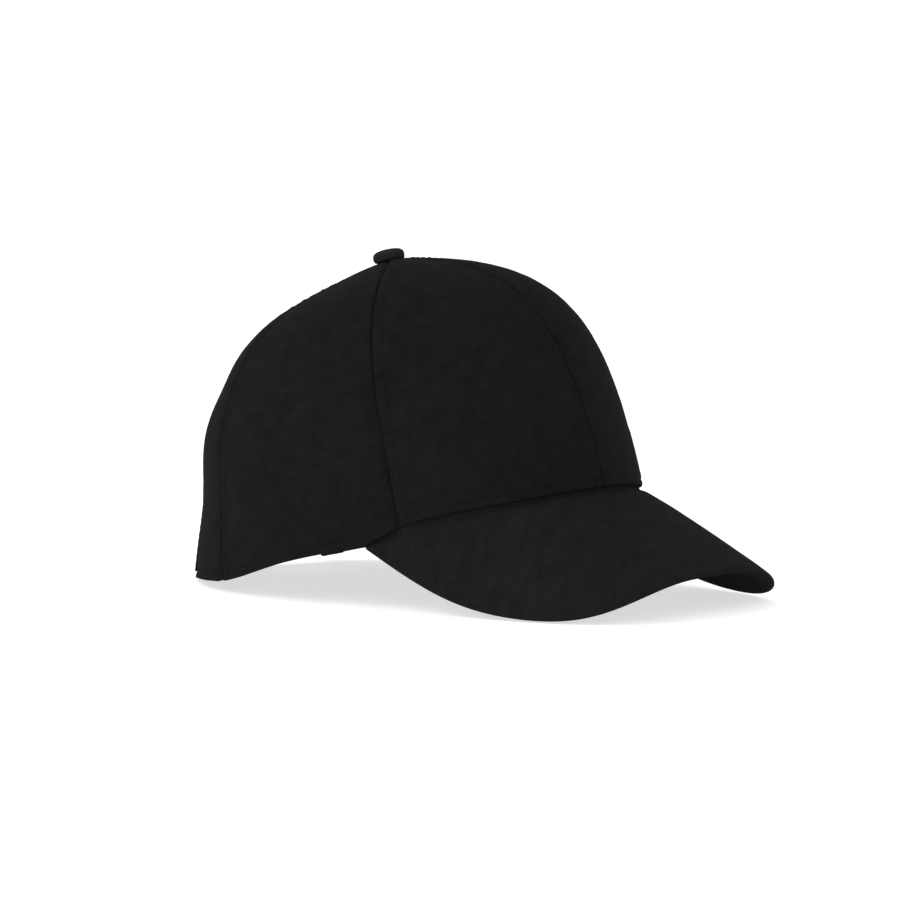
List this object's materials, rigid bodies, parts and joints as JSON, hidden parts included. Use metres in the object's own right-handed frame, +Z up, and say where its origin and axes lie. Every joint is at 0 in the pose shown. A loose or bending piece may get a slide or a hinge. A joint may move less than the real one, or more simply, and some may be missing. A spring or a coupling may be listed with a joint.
{
  "type": "baseball cap",
  "caption": "Black six-panel baseball cap with a curved brim, a covered button, a sweatband and an adjustable rear strap with a hinged clamp buckle.",
  "frame": {"origin": "on the ground under the middle of the cap's bounding box, with the cap standing on the two sides of its brim and the rear of its rim", "axes": "+Z up, -Y forwards over the brim, +X to the wearer's left; the cap is the same on both sides of the X = 0 plane, except for the strap closure"},
  "size_m": [0.17, 0.2614, 0.1441],
  "materials": {
    "crown_fabric": "matte black brushed cotton twill",
    "brim_fabric": "matte black cotton twill over a stiff board",
    "sweatband_fabric": "matte black cotton with a stitched fold",
    "strap_fabric": "matte black cotton twill, folded and stitched",
    "button_fabric": "matte black cotton twill stretched over a metal shell",
    "seam_tape": "black woven tape",
    "backing": "off-white open-weave buckram",
    "brim_plastic": "matte black sheet",
    "buckle_metal": "dark antique nickel, satin",
    "button_metal": "plain steel"
  },
  "bodies": {
    "cap": {"front_panel_right": "crown_fabric", "front_panel_left": "crown_fabric", "side_panel_right": "crown_fabric", "side_panel_left": "crown_fabric", "rear_panel_right": "crown_fabric", "rear_panel_left": "crown_fabric", "front_backing_right": "backing", "front_backing_left": "backing", "seam_tape_front": "seam_tape", "seam_tape_front_right": "seam_tape", "seam_tape_front_left": "seam_tape", "seam_tape_rear_right": "seam_tape", "seam_tape_rear_left": "seam_tape", "seam_tape_rear": "seam_tape", "opening_binding": "seam_tape", "sweatband": "sweatband_fabric", "brim_top_cover": "brim_fabric", "brim_under_cover": "brim_fabric", "brim_board": "brim_plastic", "button_shell": "button_fabric", "button_post": "button_metal", "button_washer": "button_metal", "buckle_loop": "strap_fabric", "buckle_frame": "buckle_metal", "buckle_pin": "buckle_metal"},
    "strap": {"strap": "strap_fabric"},
    "lever": {"buckle_lever": "buckle_metal"}
  },
  "joints": [
    {"name": "strap_slide", "type": "hinge", "parent": "cap", "child": "strap", "pos_m": [0, 0.05064, 0.01441], "axis": [0, 0.2071, 0.9783], "range_deg": [-10, 10]},
    {"name": "buckle_hinge", "type": "hinge", "parent": "cap", "child": "lever", "pos_m": [-0.0292, 0.12353, 0.0133], "axis": [0.0937, -0.0239, 0.9953], "range_deg": [0, 110]}
  ]
}
